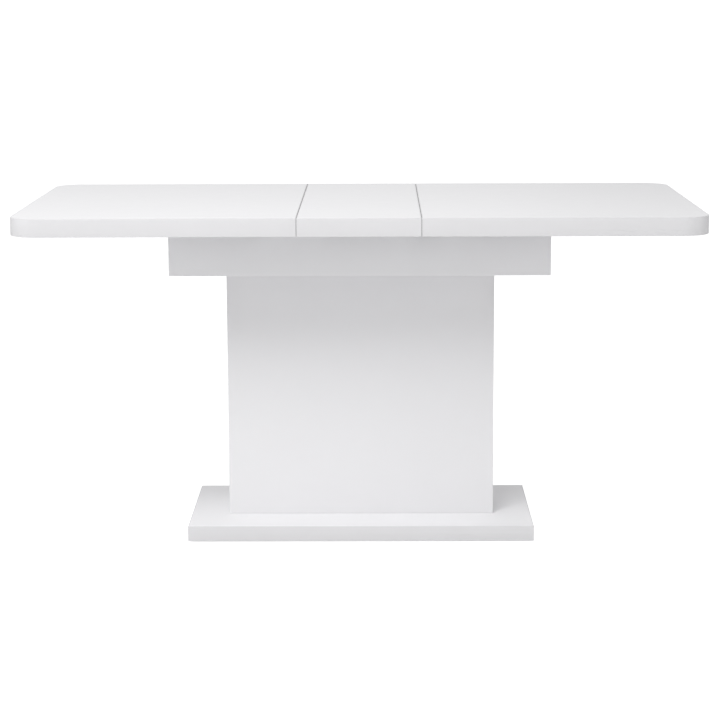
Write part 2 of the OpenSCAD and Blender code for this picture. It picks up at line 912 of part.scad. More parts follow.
// points from the pivot to the stud along +X and swings away towards -Y
module latch_lever() {
    color(zinc) translate([0, 0, -plate_t - lever_gap - lever_t]) linear_extrude(lever_t) difference() {
        union() {
            circle(boss_r, $fn = 64);
            translate([-latch_handle, -lever_w / 2]) square([latch_handle + latch_reach, lever_w]);
            translate([-latch_handle, 0]) circle(thumb_pad_r, $fn = 64);
            translate([latch_reach, 0]) circle(jaw_r, $fn = 64);
        }
        circle(latch_pin_r + running_gap, $fn = 64);
        translate([latch_reach, 0]) circle(stud_r + slot_gap, $fn = 64);
        intersection() {
            difference() {
                circle(latch_reach + stud_r + slot_gap, $fn = 96);
                circle(latch_reach - stud_r - slot_gap, $fn = 96);
            }
            polygon([[0, 0], [2 * latch_reach, 0], [2 * latch_reach, 2 * latch_reach]]);
        }
    }
}
module left_front_latch() {
    at_left_front_pivot() latch_lever();
}
module left_back_latch() {
    at_left_back_pivot() latch_lever();
}
module right_front_latch() {
    turned() left_back_latch();
}
module right_back_latch() {
    turned() left_front_latch();
}

base_plate();
base_edge_band();
floor_glides();
base_bolts();
pedestal_front_panel();
pedestal_back_panel();
pedestal_side_panels();
pedestal_stiffener();
bottom_cleats();
top_cleats();
cam_fittings();
wood_dowels();
mounting_board();
mounting_battens();
pedestal_top_screws();
apron_front();
apron_back();
apron_end_panels();
corner_blocks();
frame_screws();
front_rail();
back_rail();
rail_stops();
pinion_post();
pinion_retainer();
rack_guides();
support_pads();
sync_pinion();
left_deck_board();
left_long_strips();
left_cross_strips();
left_edge_band();
left_front_runner();
left_back_runner();
left_slide_shoes();
left_rack();
left_rack_block();
left_top_screws();
left_latch_plates();
right_deck_board();
right_long_strips();
right_cross_strips();
right_edge_band();
right_front_runner();
right_back_runner();
right_slide_shoes();
right_rack();
right_rack_block();
right_top_screws();
right_latch_plates();
leaf_deck_board();
leaf_long_strips();
leaf_cross_strips();
leaf_edge_band();
leaf_seals();
leaf_latch_studs();
left_front_latch();
left_back_latch();
right_front_latch();
right_back_latch();
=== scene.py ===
"""The extendable dining table: boards with banded edges, the slide hardware, floor, lights and camera."""

import json
import logging
import math
from collections.abc import Callable, Iterator
from contextlib import contextmanager
from dataclasses import dataclass, field
from enum import Enum

import bmesh
import bpy
from mathutils import Matrix, Quaternion, Vector


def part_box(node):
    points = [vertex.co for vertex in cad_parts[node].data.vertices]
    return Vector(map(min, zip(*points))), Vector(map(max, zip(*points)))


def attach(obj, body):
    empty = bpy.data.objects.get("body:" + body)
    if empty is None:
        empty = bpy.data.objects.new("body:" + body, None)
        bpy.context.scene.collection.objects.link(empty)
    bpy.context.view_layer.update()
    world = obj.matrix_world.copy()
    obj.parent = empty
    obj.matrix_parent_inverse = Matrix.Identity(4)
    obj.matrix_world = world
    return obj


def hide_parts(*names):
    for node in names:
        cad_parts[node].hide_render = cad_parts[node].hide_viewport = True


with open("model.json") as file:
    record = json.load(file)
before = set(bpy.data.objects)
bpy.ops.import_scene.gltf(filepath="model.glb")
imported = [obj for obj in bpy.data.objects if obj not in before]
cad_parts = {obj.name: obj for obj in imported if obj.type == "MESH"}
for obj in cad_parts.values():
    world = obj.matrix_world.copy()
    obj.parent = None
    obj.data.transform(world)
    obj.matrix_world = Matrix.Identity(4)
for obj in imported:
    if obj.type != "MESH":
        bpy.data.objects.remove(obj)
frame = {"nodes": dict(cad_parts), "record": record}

log = logging.getLogger("dining_table")

Colour = tuple[float, float, float]
MM = 0.001
UPRIGHT = 0.1  # the most that an upright face's normal may point along Z
FLAT = 0.9  # the least that a flat face's normal points along Z
SAME = 0.01 * MM  # how far apart two places may be and still count as one
HIDDEN_ARRIS = 0.3 * MM  # the edge radius of a panel whose edges butt against others
JOINT_ARRIS = 0.12 * MM  # the edge radius of a board where it meets its edge band
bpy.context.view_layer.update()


# ------------------------------------------------------------------ choices


class Side(Enum):
    """The half of the tabletop that a piece belongs to, with the sign of X at its outer end."""

    LEFT = -1
    RIGHT = 1

    @property
    def word(self) -> str:
        """The side's name as the CAD nodes spell it."""
        return self.name.lower()

    @property
    def body(self) -> str:
        """The body that the side's pieces ride on."""
        return f"{self.word}_half"


class Slot(Enum):
    """The record's material slots."""

    LAMINATE = "white_laminate"
    EDGE_BAND = "white_edge_band"
    CHIPBOARD = "raw_chipboard"
    BEECH = "beech"
    ZINC = "zinc_steel"
    NYLON = "nylon"
    FELT = "felt"
    RUBBER = "black_rubber"


# ------------------------------------------------------------------ shared shader effects


class ShaderEffects:
    """Node groups that more than one finish uses. Each one is built once."""

    COARSER = 0.045  # the pearl mask's scale, as a share of the pearl's own

    def __init__(self) -> None:
        """Builds the groups."""
        self.pearl = self._pearl()
        self.drift = self._drift()
        self.strands = self._strands()

    @staticmethod
    def _group(name: str, inputs: dict[str, object], outputs: dict[str, str]) -> bpy.types.NodeTree:
        """Makes an empty shader group.

        Args:
            name: The group's name.
            inputs: Each input's name with its default, a number or a colour.
            outputs: Each output's name with its socket type.

        Returns:
            The group, with its input and output nodes in place.
        """
        group = bpy.data.node_groups.new(name, "ShaderNodeTree")
        for label, value in inputs.items():
            kind = "NodeSocketFloat" if isinstance(value, float) else "NodeSocketColor"
            socket = group.interface.new_socket(label, in_out="INPUT", socket_type=kind)
            socket.default_value = value if isinstance(value, float) else (*value, 1.0)
        for label, kind in outputs.items():
            group.interface.new_socket(label, in_out="OUTPUT", socket_type=kind)
        group.nodes.new("NodeGroupInput").name = "in"
        group.nodes.new("NodeGroupOutput").name = "out"
        return group

    def _pearl(self) -> bpy.types.NodeTree:
        """The fine pressed texture of a laminate or a moulding, as a height and a mask."""
        group = self._group(
            "pearl_texture", {"Scale": 900.0}, {"Height": "NodeSocketFloat", "Mask": "NodeSocketFloat"}
        )
        nodes, links = group.nodes, group.links
        place = nodes.new("ShaderNodeTexCoord")
        fine = nodes.new("ShaderNodeTexNoise")
        fine.inputs["Detail"].default_value = 2.0
        fine.inputs["Roughness"].default_value = 0.6
        coarse = nodes.new("ShaderNodeTexNoise")
        coarse.inputs["Detail"].default_value = 3.0
        slower = nodes.new("ShaderNodeMath")
        slower.operation = "MULTIPLY"
        slower.inputs[1].default_value = self.COARSER
        links.new(place.outputs["Object"], fine.inputs["Vector"])
        links.new(place.outputs["Object"], coarse.inputs["Vector"])
        links.new(nodes["in"].outputs["Scale"], fine.inputs["Scale"])
        links.new(nodes["in"].outputs["Scale"], slower.inputs[0])
        links.new(slower.outputs[0], coarse.inputs["Scale"])
        links.new(fine.outputs["Fac"], nodes["out"].inputs["Height"])
        links.new(coarse.outputs["Fac"], nodes["out"].inputs["Mask"])
        return group

    def _drift(self) -> bpy.types.NodeTree:
        """A slow change of tone over a surface, between two colours."""
        group = self._group(
            "tone_drift",
            {"Light": (0.8, 0.8, 0.8), "Dark": (0.7, 0.7, 0.7), "Scale": 4.0},
            {"Color": "NodeSocketColor"},
        )
        nodes, links = group.nodes, group.links
        place = nodes.new("ShaderNodeTexCoord")
        cloud = nodes.new("ShaderNodeTexNoise")
        cloud.inputs["Detail"].default_value = 4.0
        mix = nodes.new("ShaderNodeMix")
        mix.data_type = "RGBA"
        links.new(place.outputs["Object"], cloud.inputs["Vector"])
        links.new(nodes["in"].outputs["Scale"], cloud.inputs["Scale"])
        links.new(cloud.outputs["Fac"], mix.inputs["Factor"])
        links.new(nodes["in"].outputs["Light"], mix.inputs[6])
        links.new(nodes["in"].outputs["Dark"], mix.inputs[7])
        links.new(mix.outputs[2], nodes["out"].inputs["Color"])
        return group

    def _strands(self) -> bpy.types.NodeTree:
        """Fine streaks along X, as wood grain or the lines of rolled steel, as a mask."""
        group = self._group(
            "strands", {"Scale": 60.0, "Stretch": 18.0}, {"Mask": "NodeSocketFloat"}
        )
        nodes, links = group.nodes, group.links
        place = nodes.new("ShaderNodeTexCoord")
        split = nodes.new("ShaderNodeSeparateXYZ")
        squeeze = nodes.new("ShaderNodeMath")
        squeeze.operation = "DIVIDE"
        join = nodes.new("ShaderNodeCombineXYZ")
        grain = nodes.new("ShaderNodeTexNoise")
        grain.inputs["Detail"].default_value = 5.0
        grain.inputs["Roughness"].default_value = 0.65
        grain.inputs["Distortion"].default_value = 0.25
        links.new(place.outputs["Object"], split.inputs["Vector"])
        links.new(split.outputs["X"], squeeze.inputs[0])
        links.new(nodes["in"].outputs["Stretch"], squeeze.inputs[1])
        links.new(squeeze.outputs[0], join.inputs["X"])
        links.new(split.outputs["Y"], join.inputs["Y"])
        links.new(split.outputs["Z"], join.inputs["Z"])
        links.new(join.outputs["Vector"], grain.inputs["Vector"])
        links.new(nodes["in"].outputs["Scale"], grain.inputs["Scale"])
        links.new(grain.outputs["Fac"], nodes["out"].inputs["Mask"])
        return group


# ------------------------------------------------------------------ finishes


class Painter:
    """Builds one material: a Principled shader and the few nodes that feed it."""

    MASK_RANGE = (0.3, 0.7)  # where a noise mask has most of its values

    def __init__(self, name: str, effects: ShaderEffects) -> None:
        """Makes the material.

        Args:
            name: The material's name.
            effects: The shared node groups.
        """
        self.effects = effects
        self.material = bpy.data.materials.new(name)
        self.material.use_nodes = True
        self.nodes = self.material.node_tree.nodes
        self.links = self.material.node_tree.links
        self.shader = self.nodes["Principled BSDF"]

    def constant(self, **values: object) -> None:
        """Sets the shader's own sockets. An underscore in a name stands for a space."""
        for label, value in values.items():
            self.shader.inputs[label.replace("_", " ")].default_value = value

    def use(self, group: bpy.types.NodeTree, **values: object) -> bpy.types.Node:
        """Places a shared group with its own values."""
        node = self.nodes.new("ShaderNodeGroup")
        node.node_tree = group
        for label, value in values.items():
            node.inputs[label].default_value = value if isinstance(value, float) else (*value, 1.0)
        return node

    def tone(self, light: Colour, dark: Colour, scale: float) -> bpy.types.NodeSocket:
        """Adds a slow drift between two tones and returns its colour socket."""
        return self.use(self.effects.drift, Light=light, Dark=dark, Scale=scale).outputs["Color"]

    def spread(self, factor: bpy.types.NodeSocket, low: float, high: float) -> bpy.types.NodeSocket:
        """Maps a mask onto the numbers from low to high."""
        node = self.nodes.new("ShaderNodeMapRange")
        node.inputs["From Min"].default_value, node.inputs["From Max"].default_value = self.MASK_RANGE
        node.inputs["To Min"].default_value = low
        node.inputs["To Max"].default_value = high
        self.links.new(factor, node.inputs["Value"])
        return node.outputs["Result"]

    def mix(
        self, factor: bpy.types.NodeSocket, first: object, second: object
    ) -> bpy.types.NodeSocket:
        """Mixes two colours, each a socket or a plain colour, by a mask."""
        node = self.nodes.new("ShaderNodeMix")
        node.data_type = "RGBA"
        self.links.new(factor, node.inputs["Factor"])
        for at, colour in ((6, first), (7, second)):
            if isinstance(colour, bpy.types.NodeSocket):
                self.links.new(colour, node.inputs[at])
            else:
                node.inputs[at].default_value = (*colour, 1.0)
        return node.outputs[2]

    def feed(self, label: str, socket: bpy.types.NodeSocket) -> None:
        """Links a socket to one of the shader's inputs."""
        self.links.new(socket, self.shader.inputs[label])

    def bump(self, height: bpy.types.NodeSocket, depth: float) -> None:
        """Raises the surface by a height mask, depth metres from low to high."""
        node = self.nodes.new("ShaderNodeBump")
        node.inputs["Strength"].default_value = 1.0
        node.inputs["Distance"].default_value = depth
        self.links.new(height, node.inputs["Height"])
        self.links.new(node.outputs["Normal"], self.shader.inputs["Normal"])


@dataclass(frozen=True)
class BoardSkin:
    """A white melamine skin or its edge band: satin, with a fine pressed pearl."""

    name: str
    light: Colour
    dark: Colour
    roughness: tuple[float, float]
    pearl_scale: float
    pearl_depth: float
    drift_scale: float = 3.0

    def material(self, effects: ShaderEffects) -> bpy.types.Material:
        """Builds the finish."""
        paint = Painter(self.name, effects)
        paint.constant(IOR=1.5, Specular_IOR_Level=0.42)
        paint.feed("Base Color", paint.tone(self.light, self.dark, self.drift_scale))
        pearl = paint.use(effects.pearl, Scale=self.pearl_scale)
        paint.feed("Roughness", paint.spread(pearl.outputs["Mask"], *self.roughness))
        paint.bump(pearl.outputs["Height"], self.pearl_depth)
        return paint.material


@dataclass(frozen=True)
class Chipboard:
    """Raw pressed chipboard: pale and dark chips of several sizes."""

    name: str = "raw_chipboard"
    pale: Colour = (0.66, 0.51, 0.33)
    brown: Colour = (0.36, 0.24, 0.13)
    chip_scale: float = 520.0

    def material(self, effects: ShaderEffects) -> bpy.types.Material:
        """Builds the finish."""
        paint = Painter(self.name, effects)
        paint.constant(Roughness=0.86, IOR=1.45)
        chips = paint.nodes.new("ShaderNodeTexVoronoi")
        chips.inputs["Scale"].default_value = self.chip_scale
        place = paint.nodes.new("ShaderNodeTexCoord")
        paint.links.new(place.outputs["Object"], chips.inputs["Vector"])
        bright = paint.nodes.new("ShaderNodeRGBToBW")
        paint.links.new(chips.outputs["Color"], bright.inputs["Color"])
        base = paint.tone(self.pale, tuple(0.8 * c for c in self.pale), 25.0)
        paint.feed("Base Color", paint.mix(paint.spread(bright.outputs["Val"], 0.0, 0.75), base, self.brown))
        paint.bump(chips.outputs["Distance"], 0.12 * MM)
        return paint.material


@dataclass(frozen=True)
class Beech:
    """Planed beech with its grain along X and short dark flecks."""

    name: str = "beech"
    pale: Colour = (0.66, 0.44, 0.25)
    grain: Colour = (0.50, 0.30, 0.15)

    def material(self, effects: ShaderEffects) -> bpy.types.Material:
        """Builds the finish."""
        paint = Painter(self.name, effects)
        paint.constant(IOR=1.48)
        grain = paint.use(effects.strands, Scale=140.0, Stretch=22.0)
        flecks = paint.use(effects.strands, Scale=700.0, Stretch=9.0)
        body = paint.mix(paint.spread(grain.outputs["Mask"], 0.0, 1.0), self.pale, self.grain)
        dark = tuple(0.7 * c for c in self.grain)
        fleck = paint.spread(flecks.outputs["Mask"], -0.9, 0.55)
        paint.feed("Base Color", paint.mix(fleck, body, dark))
        paint.feed("Roughness", paint.spread(grain.outputs["Mask"], 0.5, 0.66))
        paint.bump(flecks.outputs["Mask"], 0.06 * MM)
        return paint.material


@dataclass(frozen=True)
class Zinc:
    """Zinc-plated rolled steel: grey, faintly streaked along the rolling."""

    name: str = "zinc_steel"
    light: Colour = (0.62, 0.63, 0.645)
    dark: Colour = (0.47, 0.48, 0.50)

    def material(self, effects: ShaderEffects) -> bpy.types.Material:
        """Builds the finish."""
        paint = Painter(self.name, effects)
        paint.constant(Metallic=1.0)
        rolled = paint.use(effects.strands, Scale=420.0, Stretch=30.0)
        cloudy = paint.tone(self.light, self.dark, 60.0)
        shade = tuple(0.82 * c for c in self.dark)
        paint.feed("Base Color", paint.mix(paint.spread(rolled.outputs["Mask"], 0.0, 0.35), cloudy, shade))
        paint.feed("Roughness", paint.spread(rolled.outputs["Mask"], 0.28, 0.44))
        paint.bump(rolled.outputs["Mask"], 0.02 * MM)
        return paint.material


@dataclass(frozen=True)
class Moulded:
    """A moulded plastic or rubber part with a fine spark-eroded texture."""

    name: str
    light: Colour
    dark: Colour
    roughness: tuple[float, float]
    translucent: float = 0.0

    def material(self, effects: ShaderEffects) -> bpy.types.Material:
        """Builds the finish."""
        paint = Painter(self.name, effects)
        paint.constant(IOR=1.5, Subsurface_Weight=self.translucent)
        paint.feed("Base Color", paint.tone(self.light, self.dark, 30.0))
        pearl = paint.use(effects.pearl, Scale=1400.0)
        paint.feed("Roughness", paint.spread(pearl.outputs["Mask"], *self.roughness))
        paint.bump(pearl.outputs["Height"], 0.02 * MM)
        return paint.material


@dataclass(frozen=True)
class PressedFelt:
    """Grey-brown pressed felt: a short tangled pile with a soft sheen."""

    name: str = "felt"
    light: Colour = (0.34, 0.32, 0.30)
    dark: Colour = (0.20, 0.185, 0.17)

    def material(self, effects: ShaderEffects) -> bpy.types.Material:
        """Builds the finish."""
        paint = Painter(self.name, effects)
        paint.constant(Roughness=0.95, Sheen_Weight=0.4, Sheen_Roughness=0.5)
        pile = paint.use(effects.pearl, Scale=2600.0)
        tone = paint.tone(self.light, self.dark, 180.0)
        paint.feed("Base Color", paint.mix(paint.spread(pile.outputs["Height"], 0.0, 0.7), tone, self.dark))
        paint.bump(pile.outputs["Height"], 0.35 * MM)
        return paint.material


class Finishes:
    """One material for each slot of the record."""

    def __init__(self) -> None:
        """Builds every material."""
        effects = ShaderEffects()
        recipes = {
            Slot.LAMINATE: BoardSkin(
                name="white_laminate",
                light=(0.848, 0.845, 0.858),
                dark=(0.828, 0.825, 0.838),
                roughness=(0.40, 0.50),
                pearl_scale=950.0,
                pearl_depth=0.02 * MM,
            ),
            # The edge band's tone is set well below the laminate's as painted shade: it darkens the upright
            # edges of the tops and the base as shade would.
            Slot.EDGE_BAND: BoardSkin(
                name="white_edge_band",
                light=(0.716, 0.712, 0.724),
                dark=(0.700, 0.696, 0.708),
                roughness=(0.34, 0.42),
                pearl_scale=1300.0,
                pearl_depth=0.012 * MM,
            ),
            Slot.CHIPBOARD: Chipboard(),
            Slot.BEECH: Beech(),
            Slot.ZINC: Zinc(),
            Slot.NYLON: Moulded("nylon", (0.83, 0.81, 0.73), (0.78, 0.76, 0.67), (0.34, 0.46), 0.15),
            Slot.FELT: PressedFelt(),
            Slot.RUBBER: Moulded("black_rubber", (0.052, 0.052, 0.055), (0.036, 0.036, 0.038), (0.62, 0.8)),
        }
        self.materials = {slot: recipe.material(effects) for slot, recipe in recipes.items()}

    def dress(self, piece: bpy.types.Object, slot: Slot) -> None:
        """Gives a piece its one material and names its slot."""
        piece.data.materials.clear()
        piece.data.materials.append(self.materials[slot])


# ------------------------------------------------------------------ modelling


class Bench:
    """The modelling steps that the pieces share, all done with Blender's own operators."""

    SMOOTH_ANGLE = math.radians(35)

    @staticmethod
    def clear() -> None:
        """Deselects everything."""
        bpy.ops.object.select_all(action="DESELECT")

    @staticmethod
    def take(piece: bpy.types.Object) -> None:
        """Makes a piece the only one selected, and the active one."""
        Bench.clear()
        piece.select_set(True)
        bpy.context.view_layer.objects.active = piece

    @staticmethod
    def settle(name: str) -> bpy.types.Object:
        """Names the new active object and moves its place into its mesh."""
        piece = bpy.context.active_object
        piece.name = name
        piece.data.name = name
        bpy.ops.object.transform_apply(location=True, rotation=True, scale=True)
        return piece

    @staticmethod
    def block(name: str, low: Vector, high: Vector) -> bpy.types.Object:
        """Adds a block between two corners."""
        Bench.clear()
        bpy.ops.mesh.primitive_cube_add(size=1.0, location=(low + high) / 2, scale=high - low)
        return Bench.settle(name)

    @staticmethod
    @contextmanager
    def editing(piece: bpy.types.Object, mode: str = "EDGE") -> Iterator[None]:
        """Edit mode on one piece, with nothing selected at the start."""
        Bench.take(piece)
        bpy.ops.object.mode_set(mode="EDIT")
        bpy.ops.mesh.select_mode(type=mode)
        bpy.ops.mesh.select_all(action="DESELECT")
        try:
            yield
        finally:
            bpy.ops.object.mode_set(mode="OBJECT")

    @staticmethod
    def pick_edges(piece: bpy.types.Object, wanted: Callable[[bmesh.types.BMEdge], bool]) -> int:
        """Selects the edges that a test wants and returns how many there are."""
        mesh = bmesh.from_edit_mesh(piece.data)
        found = [edge for edge in mesh.edges if wanted(edge)]
        for edge in found:
            edge.select_set(True)
        bmesh.update_edit_mesh(piece.data)
        return len(found)

    @staticmethod
    def pick_faces(piece: bpy.types.Object, wanted: Callable[[bmesh.types.BMFace], bool]) -> None:
        """Selects the faces that a test wants."""
        mesh = bmesh.from_edit_mesh(piece.data)
        for face in mesh.faces:
            if wanted(face):
                face.select_set(True)
        bmesh.update_edit_mesh(piece.data)

    @staticmethod
    def round_edges(
        piece: bpy.types.Object, wanted: Callable[[bmesh.types.BMEdge], bool], radius: float, segments: int
    ) -> None:
        """Rounds the edges that a test wants.

        Args:
            piece: The mesh to shape.
            wanted: The test for an edge.
            radius: The rounding's radius in metres.
            segments: The number of faces across the rounding.
        """
        with Bench.editing(piece):
            if Bench.pick_edges(piece, wanted):
                bpy.ops.mesh.bevel(offset=radius, segments=segments, profile=0.5, affect="EDGES")

    @staticmethod
    def hollow(piece: bpy.types.Object, wall: float) -> None:
        """Turns an upright solid into a ring with a wall, open at the top and the bottom."""
        with Bench.editing(piece, "FACE"):
            Bench.pick_faces(piece, lambda face: abs(face.normal.z) > FLAT)
            bpy.ops.mesh.inset(thickness=wall, depth=0.0)
            bpy.ops.mesh.bridge_edge_loops()
            bpy.ops.mesh.select_all(action="SELECT")
            bpy.ops.mesh.normals_make_consistent(inside=False)

    @staticmethod
    def soften(piece: bpy.types.Object, radius: float, segments: int = 2, angle: float = 30.0) -> None:
        """Rounds every edge sharper than an angle, with a modifier that is then applied."""
        Bench.take(piece)
        modifier = piece.modifiers.new("edges", "BEVEL")
        modifier.width = radius
        modifier.segments = segments
        modifier.limit_method = "ANGLE"
        modifier.angle_limit = math.radians(angle)
        modifier.use_clamp_overlap = True
        bpy.ops.object.modifier_apply(modifier=modifier.name)

    @staticmethod
    def smooth(piece: bpy.types.Object) -> None:
        """Shades a finished piece smooth, apart from its sharp edges."""
        Bench.take(piece)
        bpy.ops.object.shade_smooth_by_angle(angle=Bench.SMOOTH_ANGLE)

    @staticmethod
    def copy_node(node: str, name: str) -> bpy.types.Object:
        """Copies a CAD node's mesh as a new piece, merged and with flat faces joined up."""
        piece = bpy.data.objects.new(name, frame["nodes"][node].data.copy())
        piece.data.name = name
        bpy.context.scene.collection.objects.link(piece)
        with Bench.editing(piece, "VERT"):
            bpy.ops.mesh.select_all(action="SELECT")
            bpy.ops.mesh.remove_doubles(threshold=0.002 * MM)
            bpy.ops.mesh.dissolve_limited(angle_limit=math.radians(0.5))
            bpy.ops.mesh.customdata_custom_splitnormals_clear()
        return piece


def level(edge: bmesh.types.BMEdge) -> bool:
    """Tells whether an edge lies level."""
    return abs(edge.verts[0].co.z - edge.verts[1].co.z) < SAME


def middle(edge: bmesh.types.BMEdge) -> Vector:
    """The middle of an edge."""
    return (edge.verts[0].co + edge.verts[1].co) / 2


def outer_rim(centre: Vector) -> Callable[[bmesh.types.BMEdge], bool]:
    """Makes the test for the outer rim of an edge band, top and bottom.

    Args:
        centre: The middle of the band.

    Returns:
        The test, which takes an edge.
    """

    def wanted(edge: bmesh.types.BMEdge) -> bool:
        """Tells whether an edge joins an outer side to a flat face."""
        sides = [face for face in edge.link_faces if abs(face.normal.z) < UPRIGHT]
        if not level(edge) or len(sides) != 1:
            return False
        return sides[0].normal.dot(middle(edge) - centre) > 0

    return wanted


def corners_of(points: list[Vector]) -> tuple[Vector, Vector]:
    """The low and the high corner of a set of points."""
    low = Vector([min(point[axis] for point in points) for axis in range(3)])
    high = Vector([max(point[axis] for point in points) for axis in range(3)])
    return low, high


def loose_parts(node: str) -> list[list[Vector]]:
    """Lists the points of each separate solid of a CAD node."""
    mesh = bmesh.new()
    mesh.from_mesh(frame["nodes"][node].data)
    bmesh.ops.remove_doubles(mesh, verts=mesh.verts, dist=0.001 * MM)
    waiting, parts = set(mesh.verts), []
    while waiting:
        edge_of_part, points = [waiting.pop()], []
        while edge_of_part:
            vertex = edge_of_part.pop()
            points.append(vertex.co.copy())
            for edge in vertex.link_edges:
                other = edge.other_vert(vertex)
                if other in waiting:
                    waiting.remove(other)
                    edge_of_part.append(other)
        parts.append(points)
    mesh.free()
    return sorted(parts, key=lambda points: tuple(round(v, 4) for v in corners_of(points)[0]))


def solids_of(node: str) -> list[tuple[Vector, Vector]]:
    """The corners of each separate solid of a CAD node."""
    return [corners_of(points) for points in loose_parts(node)]


class Workshop:
    """Hands finished pieces over: dressed, riding on a body and standing for their CAD nodes."""

    def __init__(self, finishes: Finishes) -> None:
        """Keeps the finishes."""
        self.finishes = finishes
        self.made: list[str] = []

    def finish(self, piece: bpy.types.Object, slot: Slot, body: str, *nodes: str) -> bpy.types.Object:
        """Finishes one piece.

        Args:
            piece: The mesh, in place.
            slot: The material slot that it takes.
            body: The body that it rides on.
            *nodes: The CAD nodes that it stands for.

        Returns:
            The same piece.
        """
        Bench.smooth(piece)
        self.finishes.dress(piece, slot)
        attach(piece, body)
        if nodes:
            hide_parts(*nodes)
        self.made.append(piece.name)
        log.info("%s: %d faces, %s, on %s", piece.name, len(piece.data.polygons), slot.value, body)
        return piece

    def soft_copy(
        self, node: str, slot: Slot, body: str, radius: float, angle: float = 30.0
    ) -> bpy.types.Object:
        """Builds one CAD node again with soft edges.

        Args:
            node: The CAD node.
            slot: The material slot that the piece takes.
            body: The body that it rides on.
            radius: The radius of its edges.
            angle: The sharpest turn, in degrees, that stays as it is.

        Returns:
            The finished piece.
        """
        piece = Bench.copy_node(node, f"{node}_shaped")
        Bench.soften(piece, radius, angle=angle)
        return self.finish(piece, slot, body, node)

    def end_panels(self, node: str, front: str, name: str) -> None:
        """Builds the left and the right panel of a box, one piece each.

        Args:
            node: The CAD node that holds both panels.
            front: The CAD node of the box's front, which is as thick as they are.
            name: The pieces' name, with braces where the side goes.
        """
        low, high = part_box(node)
        front_low, front_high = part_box(front)
        thick = front_high.y - front_low.y
        for word, x in (("left", low.x), ("right", high.x - thick)):
            piece = Bench.block(
                name.format(word), Vector((x, low.y, low.z)), Vector((x + thick, high.y, high.z))
            )
            Bench.soften(piece, HIDDEN_ARRIS, 1)
            self.finish(piece, Slot.LAMINATE, "root", node)


# ------------------------------------------------------------------ sub-assemblies


@dataclass
class TopPanel:
    """What the half tops and the leaf share: a laminated deck inside a rounded edge band."""

    workshop: Workshop
    prefix: str
    body: str
    edge_radius: float = 1.2 * MM
    seam_radius: float = 0.45 * MM
    on_line: float = 0.1 * MM
    segments: int = 4

    def on_seam(self, edge: bmesh.types.BMEdge) -> bool:
        """Tells whether an edge lies along a seam of the tabletop."""
        raise NotImplementedError

    def corners(self, piece: bpy.types.Object, inset: float) -> None:
        """Rounds the panel's corners in plan, where it has any."""

    def band(self) -> bpy.types.Object:
        """The edge band all round the panel, with soft outer edges and crisper ones at a seam."""
        low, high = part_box(f"{self.prefix}_edge_band")
        deck_low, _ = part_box(f"{self.prefix}_deck_board")
        wall = abs(deck_low.y - low.y)
        ring = Bench.block(f"{self.prefix}_banded_edge", low, high)
        self.corners(ring, 0.0)
        Bench.hollow(ring, wall)
        rim = outer_rim((low + high) / 2)
        Bench.round_edges(
            ring, lambda edge: rim(edge) and not self.on_seam(edge), self.edge_radius, self.segments
        )
        Bench.round_edges(ring, lambda edge: rim(edge) and self.on_seam(edge), self.seam_radius, 2)
        return self.workshop.finish(ring, Slot.EDGE_BAND, self.body, f"{self.prefix}_edge_band")

    def deck(self) -> bpy.types.Object:
        """The laminated deck board, with a hairline where it meets the band."""
        low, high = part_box(f"{self.prefix}_deck_board")
        band_low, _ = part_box(f"{self.prefix}_edge_band")
        board = Bench.block(f"{self.prefix}_laminated_deck", low, high)
        self.corners(board, abs(low.y - band_low.y))
        Bench.round_edges(
            board, lambda edge: level(edge) and middle(edge).z > high.z - MM, JOINT_ARRIS, 1
        )
        return self.workshop.finish(board, Slot.LAMINATE, self.body, f"{self.prefix}_deck_board")

    def strips(self) -> None:
        """The strips that thicken the edge, softened where their saw cuts were broken."""
        for kind in ("long_strips", "cross_strips"):
            node = f"{self.prefix}_{kind}"
            piece = Bench.copy_node(node, f"{self.prefix}_underside_{kind}")
            Bench.soften(piece, JOINT_ARRIS, 1)
            self.workshop.finish(piece, Slot.LAMINATE, self.body, node)

    def build(self) -> None:
        """Builds the panel."""
        self.band()
        self.deck()
        self.strips()


@dataclass
class HalfTop(TopPanel):
    """One sliding half of the tabletop, with two rounded outer corners."""

    side: Side = Side.LEFT
    corner_radius: float = 60 * MM
    corner_segments: int = 16

    def on_seam(self, edge: bmesh.types.BMEdge) -> bool:
        """Tells whether an edge lies along the half's seam."""
        low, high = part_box(f"{self.prefix}_edge_band")
        seam = high.x if self.side is Side.LEFT else low.x
        return all(abs(v.co.x - seam) < self.on_line for v in edge.verts)

    def corners(self, piece: bpy.types.Object, inset: float) -> None:
        """Rounds the two outer corners in plan."""
        low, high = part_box(f"{self.prefix}_edge_band")
        outer = low.x if self.side is Side.LEFT else high.x

        def wanted(edge: bmesh.types.BMEdge) -> bool:
            """Tells whether an upright edge stands at an outer corner."""
            return not level(edge) and abs(middle(edge).x - outer) < inset + MM

        Bench.round_edges(piece, wanted, self.corner_radius - inset, self.corner_segments)


@dataclass
class Leaf(TopPanel):
    """The loose leaf, square at all four corners and crisp at both seams."""

    def on_seam(self, edge: bmesh.types.BMEdge) -> bool:
        """Tells whether an edge lies along one of the leaf's two seams."""
        low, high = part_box(f"{self.prefix}_edge_band")
        at = middle(edge).x
        return min(abs(at - low.x), abs(at - high.x)) < self.on_line


